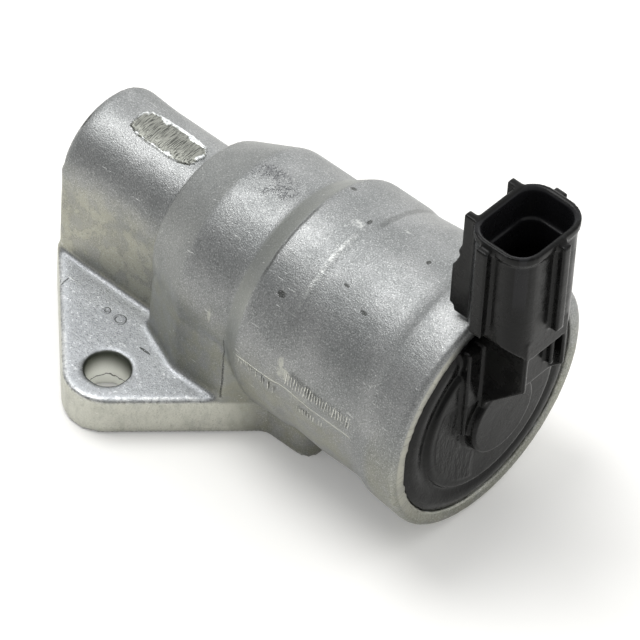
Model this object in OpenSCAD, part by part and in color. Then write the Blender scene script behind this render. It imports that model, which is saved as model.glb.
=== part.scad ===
/* [Mounting foot] */
// Height of the valve axis above the mounting face
axis_height = 21.1; // [21:0.1:23]
// Distance between the two bolt holes
bolt_spacing = 47.8; // [46:0.2:52]
// Bolt hole diameter, clearance for an M6 bolt
bolt_hole_d = 7; // [6:0.1:8]
// Radius of each ear round its bolt hole
ear_r = 6.9; // [6.5:0.1:8]
// Thickness of the ears
flange_t = 7.1; // [5:0.1:8]
// Distance from the blind end of the air tower to the bolt line
bolt_station = 23.6; // [22:0.1:25]
// Half width of the foot under the solenoid
foot_half = 12.2; // [11:0.1:13]
// Length of the foot from the blind end
foot_length = 54; // [52:0.5:58]
// Corner radius at the far end of the foot
foot_corner_r = 3; // [1:0.5:5]
// Width that each side wall gains from the axis down to the foot
wall_draft = 1.2; // [0.6:0.1:1.6]

/* [Cast outline] */
// Outer radius of the air tower
tower_r = 10.2; // [9.8:0.1:11]
// Length of the straight air tower
tower_length = 21.7; // [21.2:0.1:22.2]
// Outer radius of the valve chamber
chamber_r = 16.7; // [15.8:0.1:17]
// Station of the crease between chamber and solenoid housing
crease_station = 40.3; // [39:0.1:41]
// Outer radius of the solenoid housing
housing_r = 19.4; // [19.1:0.1:19.8]
// Length of the crimp rim at the open end
rim_length = 9.5; // [7.7:0.1:11.7]
// Step from the housing up to the crimp rim
rim_step = 1.5; // [1.1:0.1:1.6]
// Overall length of the casting
body_length = 76.7; // [76:0.1:80]
// Height of the sheared casting gate above the tower
gate_height = 0.35; // [0.1:0.05:0.8]
// Length of the casting gate along the tower
gate_length = 12; // [8:0.5:13]
// Width of the casting gate
gate_width = 6; // [4:0.5:8]

/* [Air passages] */
// Radius of the inlet port in the mounting face
inlet_r = 5.2; // [4:0.1:5.5]
// Station of the inlet port
inlet_station = 13.2; // [12.5:0.1:13.8]
// Radius of the outlet port in the mounting face
outlet_r = 5.8; // [4:0.1:6.2]
// Station of the outlet port
outlet_station = 33.4; // [32:0.1:34]
// Radius of the inlet bore
inlet_bore_r = 7.2; // [6.8:0.1:7.6]
// Radius of the valve chamber bore
chamber_bore_r = 12.8; // [12.2:0.1:13.4]
// Radius of the opening in the valve seat
seat_bore_r = 5.6; // [5:0.1:6]
// Outer radius of the pressed-in seat ring
seat_ring_r = 8.2; // [8:0.1:9]
// Thickness of the seat ring
seat_ring_t = 3; // [2:0.1:3.2]

/* [Plunger] */
// Stroke of the plunger
stroke = 4.5; // [2:0.1:4.8]
// Radius of the plunger shaft
shaft_r = 2; // [1.5:0.05:2.3]
// Radius of the valve head
head_r = 7.4; // [7:0.1:8]
// Thickness of the valve head
head_t = 2.4; // [1.8:0.1:3]
// Radius of the armature as a share of the solenoid bore
armature_share = 0.364; // [0.33:0.002:0.37]
// Share of the coil that the fixed core fills
core_share = 0.22; // [0.15:0.01:0.26]
// Wire diameter of the return spring
spring_wire_d = 0.9; // [0.6:0.05:1.2]
// Active turns of the return spring
spring_turns = 5; // [4:1:7]
// Wire diameter of the trim spring
trim_wire_d = 0.6; // [0.4:0.05:0.7]

/* [Solenoid] */
// Wall of the casting round the solenoid
housing_wall = 2.1; // [1.9:0.05:2.4]
// Thickness of the pole plates
pole_plate_t = 2.5; // [2:0.1:3]
// Wall of the flux sleeve
flux_wall = 1; // [0.8:0.1:1.2]
// Wall of the guide tube
guide_wall = 0.5; // [0.4:0.05:0.7]
// Thickness of each bobbin flange
bobbin_flange_t = 1.2; // [0.8:0.1:1.6]
// Depth of the winding below the edge of the bobbin
winding_drop = 1.2; // [0.8:0.1:4]
// Wire pitch seen on the winding
winding_pitch = 1.5; // [1:0.1:2]

/* [End cap and socket] */
// Width of the folded crimp lip
lip_width = 2.7; // [2.5:0.05:3]
// Width of the sloping ring round the raised disc on the cap
cap_ring_width = 4.1; // [3:0.1:6]
// Height of the raised disc above the crimp lip
cap_disc_height = 1.3; // [0.8:0.1:1.6]
// Radius of the round boss under the socket
boss_r = 6.6; // [6:0.1:7]
// Height of the round boss above the crimp lip
boss_height = 3.65; // [2.5:0.05:4]
// Socket width along the valve axis
socket_x = 11; // [10.6:0.1:11.6]
// Socket width across the valve axis
socket_y = 14.5; // [14:0.1:15.5]
// Distance from the crimp lip to the middle of the socket
socket_offset = 4.7; // [4.4:0.1:5.5]
// Height of the socket mouth above the valve axis
socket_height = 41; // [38:0.5:46]
// Corner radius of the socket
socket_corner_r = 3.8; // [3:0.1:4.5]
// Wall of the socket
socket_wall = 0.75; // [0.6:0.05:0.9]
// Width of the rim round the socket mouth
mouth_rim = 0.35; // [0.2:0.05:0.5]
// Depth of the ledge inside the socket mouth
ledge_depth = 5.8; // [4:0.1:7]
// Depth of the socket
socket_depth = 17; // [14:0.5:17.5]
// Half width of the neck under the socket
neck_half = 4.6; // [4.2:0.1:5]
// Thickness of the guide fins behind the socket
fin_t = 1.3; // [1:0.1:1.6]
// Width of a terminal blade
blade_w = 2.2; // [1.5:0.1:2.6]
// Thickness of a terminal blade
blade_t = 0.8; // [0.6:0.1:1]
// Distance between the terminal blades
blade_spacing = 5.2; // [4.4:0.1:6]

/* [Hidden] */

$fn = 96;
running_gap = 0.05;
part_gap = 0.3;
through = 1;
end_gap = 0.5;

// Stations are distances along the valve axis from the blind end of the tower.
end_wall = 3;
boss_end = 10;
boss_wall_r = 5;
bush_wall = 1.2;
bush_r = shaft_r + bush_wall;
seat_station = 19.6;
seat_face = seat_station + seat_ring_t;
plate_station = 44;
spigot_length = 2.8;
spigot_station = plate_station - spigot_length;
rim_station = body_length - rim_length;
cap_station = body_length - 3.7;
rear_plate_station = cap_station - pole_plate_t;
coil_start = plate_station + pole_plate_t;
coil_end = rear_plate_station;
coil_room = coil_end - coil_start;
solenoid_bore_r = housing_r - housing_wall;
bobbin_flange_r = solenoid_bore_r - flux_wall - 0.3;
winding_r = bobbin_flange_r - winding_drop;
armature_r = armature_share * solenoid_bore_r;
tube_bore_r = armature_r + 0.08;
tube_r = tube_bore_r + guide_wall;

head_station = seat_face + part_gap;
head_back = head_station + head_t;
spring_seat_t = 0.8;
spring_seat_r = 6.2;
spring_start = head_back + spring_seat_t;
spring_end = spigot_station;
spring_mean_r = 4.6;

core_station = coil_end - core_share * coil_room;
core_length = cap_station - core_station;
armature_station = coil_start + 2 * end_gap;
armature_end = core_station - stroke - end_gap;
core_bore_r = 3.2;
trim_recess = 0.24 * (armature_end - armature_station);
trim_mean_r = 2.2;
screw_tip = core_station + 0.52 * core_length;
shaft_start = end_wall + 0.8;
shaft_end = armature_end - trim_recess - end_gap;
clip_station = head_station - 1.4;

rim_r = housing_r + rim_step;
lip_r = rim_r - lip_width;
cap_r = lip_r - 0.1;
cap_disc_r = cap_r - cap_ring_width;
lip_station = body_length - 1.25;
clamp_r = cap_r + 0.9;
counter_r = clamp_r + 0.15;
seal_wire_r = 0.85;
seal_r = solenoid_bore_r + seal_wire_r - 0.05;

socket_station = body_length + socket_offset;
socket_front = socket_station + socket_x / 2;
socket_floor = socket_height - socket_depth;
neck_top = rim_r - 1.1;
neck_shoulder = neck_top - 7.1;
rib_foot = neck_top + 3.6;
fin_heel = rim_r + 0.15;
mouth_step = 0.35;
flare = socket_y / 2 - neck_half;
fin_y = 4.65;
blade_top = socket_floor + 7.3;
blade_foot = 0.525 * cap_r;
pad_top = 0.94 * cap_r;
pad_depth = 0.6 * boss_height;
gate_station = 0.57 * tower_length;
throat_r = seat_ring_r + 2.2;
throat_end = seat_face + 2 * (chamber_bore_r - throat_r);
blade_end = coil_end + 0.1;

// The outline of the casting, as [station, radius].
// Crisp cones join the tower, the chamber and the housing.
shoulder_r = 0.785 * chamber_r;
shoulder_end = crease_station - 9.9;
chamber_side = [
    [tower_length, shoulder_r - 0.45],
    [tower_length + 0.35, shoulder_r],
    [shoulder_end, chamber_r - 0.1],
    [shoulder_end + 0.7, chamber_r]];
band_r = housing_r - 0.2;
flank_end = crease_station + 3.9;
ridge_station = crease_station + 0.43 * (rim_station - crease_station);
housing_side = [
    [crease_station, chamber_r],
    [flank_end, band_r - 0.1],
    [flank_end + 0.5, band_r],
    [ridge_station, band_r],
    [ridge_station + 0.8, band_r - 0.22],
    [ridge_station + 2, band_r - 0.3],
    [ridge_station + 8, housing_r]];
rim_side = [
    [rim_station, housing_r],
    [rim_station + 1.8, housing_r + 0.45],
    [rim_station + 2.9, rim_r - 0.5],
    [rim_station + 4.3, rim_r - 0.35],
    [body_length - 0.7, rim_r],
    [body_length - 0.3, rim_r - 0.15],
    [body_length, rim_r - 0.65]];
outline = concat(
    [[0, tower_r - 1.5], [0.2, tower_r - 0.85], [0.65, tower_r - 0.3], [1.5, tower_r],
     [tower_length, tower_r]],
    chamber_side, housing_side, rim_side);

// The foot seen from above: ears rounded on their bolt holes, 45 degree flanks, a strip behind.
bolt_y = bolt_spacing / 2;
flank = bolt_y + ear_r * sqrt(2);
foot_turn = bolt_station + flank - foot_half;
function arc(cx, cy, r, from, to, n) =
    [for (i = [0:n]) let (a = from + (to - from) * i / n) [cx + r * cos(a), cy + r * sin(a)]];
half_foot = concat(
    [[0, 0], [0, -(flank - bolt_station)]],
    arc(bolt_station, -bolt_y, ear_r, 225, 315, 16),
    [[foot_turn, -foot_half]],
    arc(foot_length - foot_corner_r, -foot_half + foot_corner_r, foot_corner_r, 270, 360, 8),
    [[foot_length, 0]]);
foot_outline = concat(half_foot,
    [for (i = [len(half_foot) - 1:-1:0]) [half_foot[i][0], -half_foot[i][1]]]);

function rounded_box(x, y, r, n = 8) = concat(
    arc(x / 2 - r, y / 2 - r, r, 0, 90, n),
    arc(-x / 2 + r, y / 2 - r, r, 90, 180, n),
    arc(-x / 2 + r, -y / 2 + r, r, 180, 270, n),
    arc(x / 2 - r, -y / 2 + r, r, 270, 360, n));

// Puts stations along X with the bolt line at zero, heights from the valve axis.
module at_axis() {
    translate([-bolt_station, 0, axis_height])
        children();
}

module turned(points) {
    at_axis()
        rotate([0, 90, 0])
            rotate_extrude()
                polygon([for (p = points) [p[1], p[0]]]);
}

module ring(from, to, inner, outer) {
    turned([[from, inner], [to, inner], [to, outer], [from, outer]]);
}

module rod(from, to, r) {
    at_axis()
        translate([from, 0, 0])
            rotate([0, 90, 0])
                cylinder(r = r, h = to - from);
}

module standing(x, y, from, to, r) {
    translate([x - bolt_station, y, from])
        cylinder(r = r, h = to - from);
}

// Side walls of the tower and the valve chamber, running down to the foot.
module tower_wall() {
    top = 2;
    length = tower_length + 1.5;
    half = tower_r + 0.3;
    corner = 1.6;
    side = concat(arc(corner, -half + corner, corner, 180, 270, 6),
                  [[length, -half - wall_draft], [length, 0], [0, 0]]);
    intersection() {
        at_axis()
            rotate([90, 0, 90])
                linear_extrude(length)
                    polygon([[-tower_r + 0.3, top], [tower_r - 0.3, top],
                             [tower_r - 0.3 + wall_draft, -axis_height],
                             [-tower_r + 0.3 - wall_draft, -axis_height]]);
        translate([-bolt_station, 0, -0.5])
            linear_extrude(axis_height + 3) {
                polygon(side);
                mirror([0, 1])
                    polygon(side);
            }
    }
}

module chamber_plan(extra) {
    side = concat(chamber_side, [[crease_station + 3, chamber_r]]);
    last = len(side) - 1;
    polygon(concat([for (p = side) [p[0], -p[1] - extra]],
                   [for (i = [last:-1:0]) [side[i][0], side[i][1] + extra]]));
}

module chamber_wall() {
    intersection() {
        translate([-bolt_station, 0, 0])
            hull() {
                linear_extrude(0.01)
                    chamber_plan(0.6 * wall_draft);
                translate([0, 0, axis_height])
                    linear_extrude(0.01)
                        chamber_plan(-0.42 * wall_draft);
            }
        translate([-bolt_station, 0, -0.5])
            linear_extrude(axis_height + 1)
                polygon(foot_outline);
    }
}

module foot() {
    translate([-bolt_station, 0, 0]) {
        linear_extrude(flange_t)
            polygon(foot_outline);
        intersection() {
            linear_extrude(axis_height - 0.5)
                polygon(foot_outline);
            translate([crease_station, -foot_length / 2, -through])
                cube([foot_length, foot_length, axis_height + through]);
        }
    }
}

module casting_gate() {
    translate([gate_station - bolt_station, 0, axis_height + tower_r - 1.5])
        linear_extrude(1.5 + gate_height)
            polygon(rounded_box(gate_length, gate_width, gate_width / 2 - 0.5));
}

module body_cavity() {
    // Bore for the front bush, then the inlet bore round its boss.
    rod(end_wall, boss_end + through, bush_r);
    ring(end_wall + 1, boss_end, boss_wall_r, inlet_bore_r);
    rod(boss_end - 0.01, seat_station + through, inlet_bore_r);
    rod(seat_station, seat_face + 0.2, seat_ring_r);
    turned([[seat_face, 0], [seat_face, throat_r], [throat_end, chamber_bore_r],
            [plate_station + 0.2, chamber_bore_r], [plate_station + 0.2, 0]]);
    rod(plate_station, cap_station + 0.2, solenoid_bore_r);
    rod(cap_station, lip_station, counter_r);
    rod(lip_station - 0.1, body_length + through, lip_r);
    standing(inlet_station, 0, -through, axis_height - inlet_bore_r + 1.7, inlet_r);
    standing(outlet_station, 0, -through, axis_height - chamber_bore_r + 2.5, outlet_r);
}

module valve_body() {
    color("silver")
        difference() {
            union() {
                turned(concat([[0, 0]], outline, [[body_length, 0]]));
                tower_wall();
                chamber_wall();
                foot();
                casting_gate();
            }
            body_cavity();
            for (side = [-1, 1])
                standing(bolt_station, side * bolt_y, -through, flange_t + through, bolt_hole_d / 2);
        }
}

module seat_ring() {
    color("goldenrod")
        turned([[seat_station, seat_bore_r], [seat_face - 0.8, seat_bore_r],
                [seat_face, seat_bore_r + 0.5], [seat_face, seat_ring_r], [seat_station, seat_ring_r]]);
}

module bush(from, to) {
    bore = shaft_r + running_gap;
    turned([[from, bore + 0.3], [from + 0.3, bore], [to - 0.3, bore], [to, bore + 0.3],
            [to, bush_r], [from, bush_r]]);
}

module front_bush() {
    color("peru")
        bush(end_wall, boss_end + 0.5);
}

module front_pole_plate() {
    spigot_r = chamber_bore_r - 0.05;
    plate_r = solenoid_bore_r - 0.05;
    color("dimgray")
        turned([[spigot_station, bush_r], [spigot_station, 8.5], [spigot_station + 1, 9],
                [spigot_station + 1, spigot_r], [plate_station, spigot_r], [plate_station, plate_r],
                [coil_start, plate_r], [coil_start, bush_r]]);
}

module rear_bush() {
    color("peru")
        bush(spigot_station, coil_start);
}

module shaft_seal() {
    inner = shaft_r + running_gap;
    color("black")
        turned([[spigot_station - 1.6, inner], [spigot_station - 1.6, inner + 0.4],
                [spigot_station - 1, 3.1], [spigot_station, 3.1], [spigot_station, inner]]);
}

module plunger_shaft() {
    color("lightsteelblue")
        turned([[shaft_start, 0], [shaft_start, shaft_r - 0.4], [shaft_start + 0.4, shaft_r],
                [clip_station, shaft_r], [clip_station, shaft_r - 0.4],
                [clip_station + 0.7, shaft_r - 0.4], [clip_station + 0.7, shaft_r],
                [shaft_end - 0.4, shaft_r], [shaft_end, shaft_r - 0.4], [shaft_end, 0]]);
}

module valve_head() {
    color("gainsboro")
        turned([[head_station - 0.7, shaft_r], [head_station - 0.7, 3.4],
                [head_station + 0.7, 3.9], [head_station + 0.7, head_r - 0.3],
                [head_station + 1, head_r], [head_back, head_r - 0.6], [head_back, shaft_r]]);
}

module head_seal() {
    color("darkslategray")
        ring(head_station, head_station + 0.7, 3.9, head_r - 0.3);
}

module spring_seat() {
    color("lightgray")
        turned([[head_back, shaft_r], [head_back, spring_seat_r], [spring_start, spring_seat_r],
                [spring_start, 3.8], [spring_start + 0.9, 3.6], [spring_start + 0.9, shaft_r]]);
}

module shaft_clip() {
    color("slategray")
        at_axis()
            translate([clip_station, 0, 0])
                rotate([0, 90, 0])
                    linear_extrude(0.7)
                        difference() {
                            circle(r = shaft_r + 1.2);
                            circle(r = shaft_r - 0.4);
                            translate([0, -shaft_r + 0.7])
                                square([10, 2 * shaft_r - 1.4]);
                        }
}

// A compression spring with closed ends, swept as one polyhedron along X.
module coil_spring(from, to, mean_r, wire_d, turns) {
    sides = 8;
    per_turn = 16;
    closed = wire_d * 1.06;
    pitch = (to - from - wire_d - 2 * closed) / turns;
    total = turns + 2;
    count = total * per_turn;
    function height(t) = t < 1 ? t * closed
        : t > total - 1 ? to - from - wire_d - (total - t) * closed
        : closed + (t - 1) * pitch;
    points = [for (i = [0:count], k = [0:sides - 1])
        let (t = i / per_turn, a = 360 * t, b = 360 * k / sides, r = mean_r + wire_d / 2 * cos(b))
            [from + wire_d / 2 + height(t) + wire_d / 2 * sin(b), r * cos(a), r * sin(a)]];
    walls = [for (i = [0:count - 1], k = [0:sides - 1])
        [i * sides + k, i * sides + (k + 1) % sides,
         (i + 1) * sides + (k + 1) % sides, (i + 1) * sides + k]];
    ends = [[for (k = [sides - 1:-1:0]) k], [for (k = [0:sides - 1]) count * sides + k]];
    at_axis()
        polyhedron(points = points, faces = concat(walls, ends), convexity = 10);
}

module return_spring() {
    color("steelblue")
        coil_spring(spring_start, spring_end, spring_mean_r, spring_wire_d, spring_turns);
}

module armature() {
    color("gray")
        turned([[armature_station, shaft_r], [armature_station, armature_r - 0.8],
                [armature_station + 0.8, armature_r], [armature_end - 0.4, armature_r],
                [armature_end, armature_r - 0.4], [armature_end, core_bore_r],
                [armature_end - trim_recess, core_bore_r], [armature_end - trim_recess, shaft_r]]);
}

module guide_tube() {
    color("darkgoldenrod")
        ring(coil_start, coil_end, tube_bore_r, tube_r);
}

module bobbin() {
    inner = tube_r + 0.05;
    barrel = inner + 1;
    color("ivory")
        turned([[coil_start, inner], [coil_start, bobbin_flange_r],
                [coil_start + bobbin_flange_t, bobbin_flange_r],
                [coil_start + bobbin_flange_t, barrel], [coil_end - bobbin_flange_t, barrel],
                [coil_end - bobbin_flange_t, bobbin_flange_r], [coil_end, bobbin_flange_r],
                [coil_end, inner]]);
}

module coil_winding() {
    inner = tube_r + 1.05;
    from = coil_start + bobbin_flange_t;
    to = coil_end - bobbin_flange_t;
    rows = floor((to - from) / winding_pitch);
    step = (to - from) / rows;
    turns = [for (i = [0:rows - 1], k = [0:4])
        [from + (i + k / 4) * step, winding_r - 0.35 * pow(abs(k - 2) / 2, 2)]];
    color("chocolate")
        turned(concat([[from, inner]], turns, [[to, inner]]));
}

module flux_sleeve() {
    outer = solenoid_bore_r - 0.05;
    color("slategray")
        ring(coil_start, coil_end, outer - flux_wall, outer);
}

module rear_pole_plate() {
    slot = blade_spacing + blade_w + 1.2;
    color("dimgray")
        difference() {
            ring(rear_plate_station, cap_station, armature_r + 0.05, solenoid_bore_r - 0.05);
            at_axis()
                translate([rear_plate_station - through, -slot / 2, blade_foot - 1])
                    cube([pole_plate_t + 2 * through, slot, blade_t + 2]);
        }
}

module fixed_core() {
    color("gray")
        turned([[core_station, core_bore_r], [core_station, armature_r - 0.4],
                [core_station + 0.4, armature_r + 0.05], [cap_station, armature_r + 0.05],
                [cap_station, core_bore_r]]);
}

module adjust_screw() {
    color("lightsteelblue")
        difference() {
            turned([[screw_tip, 0], [screw_tip, core_bore_r], [cap_station, core_bore_r],
                    [cap_station, 0]]);
            at_axis()
                translate([cap_station - 1, -5, -0.4])
                    cube([2, 10, 0.8]);
        }
}

module trim_spring() {
    color("steelblue")
        coil_spring(armature_end - trim_recess, screw_tip, trim_mean_r, trim_wire_d, 5);
}

module cap_seal() {
    color("black")
        at_axis()
            rotate([0, 90, 0])
                rotate_extrude()
                    translate([seal_r, cap_station + seal_wire_r])
                        circle(r = seal_wire_r, $fn = 24);
}

// The terminals stand in the socket, turn and reach back to the coil.
module blade(y) {
    at_axis() {
        translate([socket_station - blade_t / 2, y - blade_w / 2, blade_foot])
            cube([blade_t, blade_w, blade_top - blade_foot]);
        translate([blade_end, y - blade_w / 2, blade_foot])
            cube([socket_station - blade_end, blade_w, blade_t]);
    }
}

module left_terminal() {
    color("gold")
        blade(-blade_spacing / 2);
}

module right_terminal() {
    color("gold")
        blade(blade_spacing / 2);
}

module cap_disc() {
    seal_back = cap_station + 2 * seal_wire_r;
    disc_top = body_length + cap_disc_height;
    boss_top = body_length + boss_height;
    turned([[cap_station, 0], [cap_station, solenoid_bore_r - 0.1],
            [seal_back, solenoid_bore_r - 0.1], [seal_back, clamp_r], [lip_station, clamp_r],
            [lip_station, cap_r], [body_length - 0.5, cap_r], [body_length, cap_r - 0.8],
            [body_length + 0.35, cap_r - 2.2], [body_length + 0.45, cap_disc_r + 0.25],
            [disc_top - 0.2, cap_disc_r], [disc_top, cap_disc_r - 0.3],
            [disc_top, boss_r + 0.5], [disc_top + 0.5, boss_r], [boss_top - 0.3, boss_r],
            [boss_top, boss_r - 0.3], [boss_top, 0]]);
}

// Neck under the socket: a web with a 45 degree underside and a shallow pocket in front.
module neck() {
    pocket = 2;
    root = body_length + 0.2;
    difference() {
        at_axis()
            translate([0, neck_half, 0])
                rotate([90, 0, 0])
                    linear_extrude(2 * neck_half)
                        polygon([[root, 0], [root, neck_top + 3], [socket_front, neck_top + 3],
                                 [socket_front, neck_shoulder],
                                 [body_length + boss_height - 0.2, 5.8],
                                 [body_length + boss_height - 0.2, 0]]);
        at_axis()
            translate([socket_front - pocket, -neck_half + 0.7, neck_shoulder - 4])
                cube([pocket + through, 2 * neck_half - 1.4, neck_top - 0.7 - neck_shoulder + 4]);
    }
    // A rib in the pocket and a pad beside each flank of the neck.
    at_axis() {
        translate([socket_front - pocket - 0.1, 2.2, neck_shoulder + 0.6])
            cube([pocket - 0.6, 0.8, neck_top - 0.7 - neck_shoulder - 0.6]);
        translate([body_length + 0.2, -socket_y / 2 - 0.3, 0])
            cube([pad_depth, socket_y + 0.6, pad_top]);
    }
}

module socket_plan(extra) {
    polygon(rounded_box(socket_x + 2 * extra, socket_y + 2 * extra, socket_corner_r + extra));
}

module socket_shell() {
    at_axis()
        translate([socket_station, 0, 0]) {
            // The column, with an underside that slopes in to the neck.
            intersection() {
                translate([0, 0, neck_top])
                    linear_extrude(socket_height - neck_top)
                        socket_plan(0);
                rotate([90, 0, 90])
                    translate([0, 0, -socket_x])
                        linear_extrude(2 * socket_x)
                            polygon([[-neck_half, neck_top - 1], [neck_half, neck_top - 1],
                                     [neck_half, neck_top],
                                     [socket_y / 2 + 1, neck_top + flare + 1],
                                     [socket_y / 2 + 1, socket_height + 1],
                                     [-socket_y / 2 - 1, socket_height + 1],
                                     [-socket_y / 2 - 1, neck_top + flare + 1],
                                     [-neck_half, neck_top]]);
            }
            translate([0, 0, socket_height - 1.5])
                linear_extrude(1.5)
                    socket_plan(mouth_rim);
        }
}

module fin(y) {
    back = socket_station - socket_x / 2;
    top = socket_height;
    at_axis()
        translate([0, y + fin_t / 2, 0])
            rotate([90, 0, 0])
                linear_extrude(fin_t)
                    polygon([[back + 1.5, top], [back - 1.9, top], [back - 1.9, top - 6.2],
                             [back - 2.5, top - 7.8], [back - 2.1, top - 8.4],
                             [back - 2.9, top - 10.4], [back - 3.3, top - 11],
                             [back - 3.3, fin_heel + 1.35], [back - 2.6, fin_heel + 0.95],
                             [back - 2.5, fin_heel], [back + 3, fin_heel]]);
}

module socket_ribs() {
    rib = 2.1;
    rib_x = socket_station - socket_x / 2 + 4.4;
    rib_top = socket_height - 0.7;
    at_axis() {
        for (side = [-1, 1])
            translate([rib_x - rib / 2, side * (socket_y / 2 + 0.2) - 1.4, rib_foot])
                cube([rib, 2.8, rib_top - rib_foot]);
        translate([socket_front - 0.5, -0.1, rib_foot])
            cube([2.1, 1.6, rib_top - rib_foot]);
        // Locking nose between the guide fins.
        translate([socket_station - socket_x / 2, 2.2, 0])
            rotate([90, 0, 0])
                linear_extrude(4.4)
                    polygon([[0.2, rib_top - 4.3], [-1.5, rib_top - 7.7], [-1.5, rib_top - 8.5],
                             [0.2, rib_top - 8.5]]);
    }
}

module socket_cavity() {
    at_axis()
        translate([socket_station, 0, 0]) {
            translate([0, 0, socket_height - ledge_depth])
                linear_extrude(ledge_depth + through)
                    socket_plan(-socket_wall);
            translate([0, 0, socket_height - mouth_step])
                linear_extrude(mouth_step + through)
                    socket_plan(-socket_wall / 2);
            translate([0, 0, socket_floor])
                linear_extrude(socket_depth + through)
                    socket_plan(-socket_wall - 0.55);
        }
}

module end_cap() {
    color([0.12, 0.12, 0.13])
        difference() {
            union() {
                cap_disc();
                neck();
                socket_shell();
                fin(-fin_y);
                fin(fin_y);
                socket_ribs();
            }
            socket_cavity();
            ring(rim_station, body_length + 0.1, clamp_r + 0.05, rim_r + 0.1);
            blade(-blade_spacing / 2);
            blade(blade_spacing / 2);
        }
}

valve_body();
seat_ring();
front_bush();
front_pole_plate();
rear_bush();
shaft_seal();
plunger_shaft();
valve_head();
head_seal();
spring_seat();
shaft_clip();
return_spring();
armature();
guide_tube();
bobbin();
coil_winding();
flux_sleeve();
rear_pole_plate();
fixed_core();
adjust_screw();
trim_spring();
cap_seal();
end_cap();
left_terminal();
right_terminal();
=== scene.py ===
import bpy, bmesh, math
import numpy as np
from types import SimpleNamespace
from mathutils import Vector, Matrix, noise


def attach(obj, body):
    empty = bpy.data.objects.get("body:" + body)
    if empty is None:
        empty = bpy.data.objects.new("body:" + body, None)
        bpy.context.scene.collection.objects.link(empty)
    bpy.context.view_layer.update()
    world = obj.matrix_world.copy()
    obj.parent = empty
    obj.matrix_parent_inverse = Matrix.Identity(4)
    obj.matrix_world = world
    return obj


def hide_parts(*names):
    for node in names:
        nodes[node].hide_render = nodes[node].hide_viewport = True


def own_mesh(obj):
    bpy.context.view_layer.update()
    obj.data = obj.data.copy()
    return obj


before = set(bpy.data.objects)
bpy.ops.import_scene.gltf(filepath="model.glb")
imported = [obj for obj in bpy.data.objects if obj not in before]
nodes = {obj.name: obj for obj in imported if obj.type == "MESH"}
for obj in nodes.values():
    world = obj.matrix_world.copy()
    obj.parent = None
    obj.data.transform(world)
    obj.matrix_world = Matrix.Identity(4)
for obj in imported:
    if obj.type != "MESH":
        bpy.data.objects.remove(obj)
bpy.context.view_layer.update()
print("frame loaded:", len(nodes), "nodes")

mm = 0.001
axisHeight = 21.1      # valve axis above the mounting face, mm
boltStation = 23.6     # bolt line behind the tower's blind end, mm
boltSide = 23.9        # bolt holes from the middle, mm


# small helpers
def tone(code):
    # sRGB hex to the linear colour that the shader wants
    code = code.lstrip("#")
    parts = [int(code[i:i + 2], 16) / 255 for i in (0, 2, 4)]
    return tuple(p / 12.92 if p <= 0.04045 else ((p + 0.055) / 1.055) ** 2.4 for p in parts) + (1.0,)


def addNode(tree, kind, settings=None, links=None):
    made = tree.nodes.new(kind)
    for key, value in (settings or {}).items():
        if isinstance(key, str) and hasattr(made, key):
            setattr(made, key, value)
        else:
            made.inputs[key].default_value = value
    for key, source in (links or {}).items():
        tree.links.new(source, made.inputs[key])
    return made


def newMaterial(name):
    made = bpy.data.materials.new(name)
    made.use_nodes = True
    tree = made.node_tree
    tree.nodes.clear()
    shader = addNode(tree, "ShaderNodeBsdfPrincipled")
    addNode(tree, "ShaderNodeOutputMaterial", links={"Surface": shader.outputs[0]})
    return made, tree, shader


def makeObject(name, mesh, material, body, smooth=True):
    made = bpy.data.objects.new(name, mesh)
    bpy.context.scene.collection.objects.link(made)
    mesh.materials.clear()
    mesh.materials.append(material)
    if smooth:
        mesh.polygons.foreach_set("use_smooth", [True] * len(mesh.polygons))
    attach(made, body)
    return made


def at(station, y, height):
    # station along the valve axis, y, height above the axis, all in mm
    return Vector(((station - boltStation) * mm, y * mm, (height + axisHeight) * mm))


# camera, light and floor
view = {"lens": 371.67, "place": (0.45665, -0.52929, 0.72529), "target": (0.00743, 0.01626, -0.00689),
        "roll": 3.689}

camData = bpy.data.cameras.new("camera")
camData.lens = view["lens"]
camData.sensor_width = 36
camData.clip_start = 0.05
camera = bpy.data.objects.new("camera", camData)
bpy.context.scene.collection.objects.link(camera)
place = Vector(view["place"])
aim = (Vector(view["target"]) - place).to_track_quat("-Z", "Y").to_matrix().to_4x4()
camera.matrix_world = Matrix.Translation(place) @ aim @ Matrix.Rotation(math.radians(view["roll"]), 4, "Z")
bpy.context.scene.camera = camera
bpy.context.scene.view_settings.view_transform = "Standard"

studio = {"keyPower": 6.2, "keySize": 0.68, "keyFrom": (-0.38, -0.04, 0.92), "keyAway": 1.15,
          "backPower": 3.0, "backSize": 1.1, "backFrom": (-0.35, 0.85, 0.42), "backAway": 1.7,
          "aim": (0.012, 0, 0.02), "dim": 0.42, "bright": 1.12, "brightFrom": (-0.25, 0.85, 0.46),
          "floor": "#F4F3F0", "glow": 0.14, "floorReach": 5, "floorLevel": -0.0001}


def softLamp(name, power, size, direction, away):
    data = bpy.data.lights.new(name, "AREA")
    data.shape = "DISK"
    data.size = size
    data.energy = power
    lamp = bpy.data.objects.new(name, data)
    bpy.context.scene.collection.objects.link(lamp)
    spot = Vector(studio["aim"]) + Vector(direction).normalized() * away
    turn = (-Vector(direction)).to_track_quat("-Z", "Y").to_matrix().to_4x4()
    lamp.matrix_world = Matrix.Translation(spot) @ turn


softLamp("keyLamp", studio["keyPower"], studio["keySize"], studio["keyFrom"], studio["keyAway"])
softLamp("backLamp", studio["backPower"], studio["backSize"], studio["backFrom"], studio["backAway"])

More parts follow.
